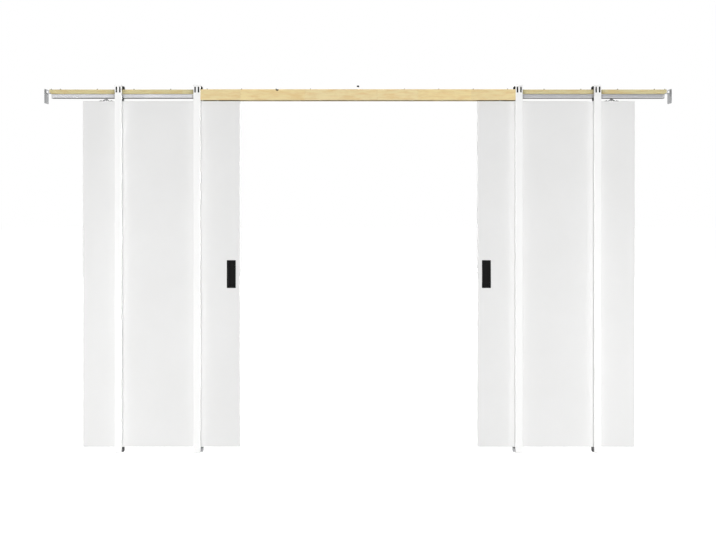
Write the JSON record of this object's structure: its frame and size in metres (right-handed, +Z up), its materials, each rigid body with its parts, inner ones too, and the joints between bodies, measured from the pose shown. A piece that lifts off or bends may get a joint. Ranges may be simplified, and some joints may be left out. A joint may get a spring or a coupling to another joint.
{
  "type": "double pocket door frame",
  "caption": "Pocket door frame for a double doorway: pine header with hung track, split steel studs in pairs, and flush doors that slide apart into the wall.",
  "frame": {"origin": "on the floor, at the centre of the underside of the left inner floor plate", "axes": "+X to the right along the wall, +Y to the back of the wall, +Z up"},
  "size_m": [3.636, 0.089, 2.134],
  "materials": {
    "pine": "planed, unfinished",
    "track_aluminium": "satin anodised",
    "white_steel": "white powder coat",
    "galvanised_steel": "galvanised",
    "zinc_steel": "zinc plated",
    "black_steel": "black",
    "black_pull": "matt black",
    "white_nylon": "moulded nylon",
    "door_white": "smooth white paint"
  },
  "bodies": {
    "frame": {"header_strip": "pine", "track": "track_aluminium", "front_nailer": "pine", "rear_nailer": "pine", "centre_hanger_bolt": "black_steel", "centre_hanger_sleeve": "white_nylon", "left_end_bracket": "galvanised_steel", "left_inner_floor_plate": "galvanised_steel", "left_inner_front_stud": "white_steel", "left_inner_rear_stud": "white_steel", "left_outer_floor_plate": "galvanised_steel", "left_outer_front_stud": "white_steel", "left_outer_rear_stud": "white_steel", "right_end_bracket": "galvanised_steel", "right_inner_floor_plate": "galvanised_steel", "right_inner_front_stud": "white_steel", "right_inner_rear_stud": "white_steel", "right_outer_floor_plate": "galvanised_steel", "right_outer_front_stud": "white_steel", "right_outer_rear_stud": "white_steel"},
    "left_door": {"left_door": "door_white", "left_door_front_pull": "black_pull", "left_door_rear_pull": "black_pull", "left_inner_hanger_plate": "black_steel", "left_inner_hanger_bolt": "zinc_steel", "left_inner_trolley": "zinc_steel", "left_inner_wheels": "white_nylon", "left_outer_hanger_plate": "black_steel", "left_outer_hanger_bolt": "zinc_steel", "left_outer_trolley": "zinc_steel", "left_outer_wheels": "white_nylon"},
    "right_door": {"right_door": "door_white", "right_door_front_pull": "black_pull", "right_door_rear_pull": "black_pull", "right_inner_hanger_plate": "black_steel", "right_inner_hanger_bolt": "zinc_steel", "right_inner_trolley": "zinc_steel", "right_inner_wheels": "white_nylon", "right_outer_hanger_plate": "black_steel", "right_outer_hanger_bolt": "zinc_steel", "right_outer_trolley": "zinc_steel", "right_outer_wheels": "white_nylon"}
  },
  "joints": [
    {"name": "left_door_slide", "type": "slide", "parent": "frame", "child": "left_door", "axis": [1, 0, 0], "range_m": [-0.2105, 0.683]},
    {"name": "right_door_slide", "type": "slide", "parent": "frame", "child": "right_door", "axis": [-1, 0, 0], "range_m": [-0.2005, 0.693]}
  ]
}
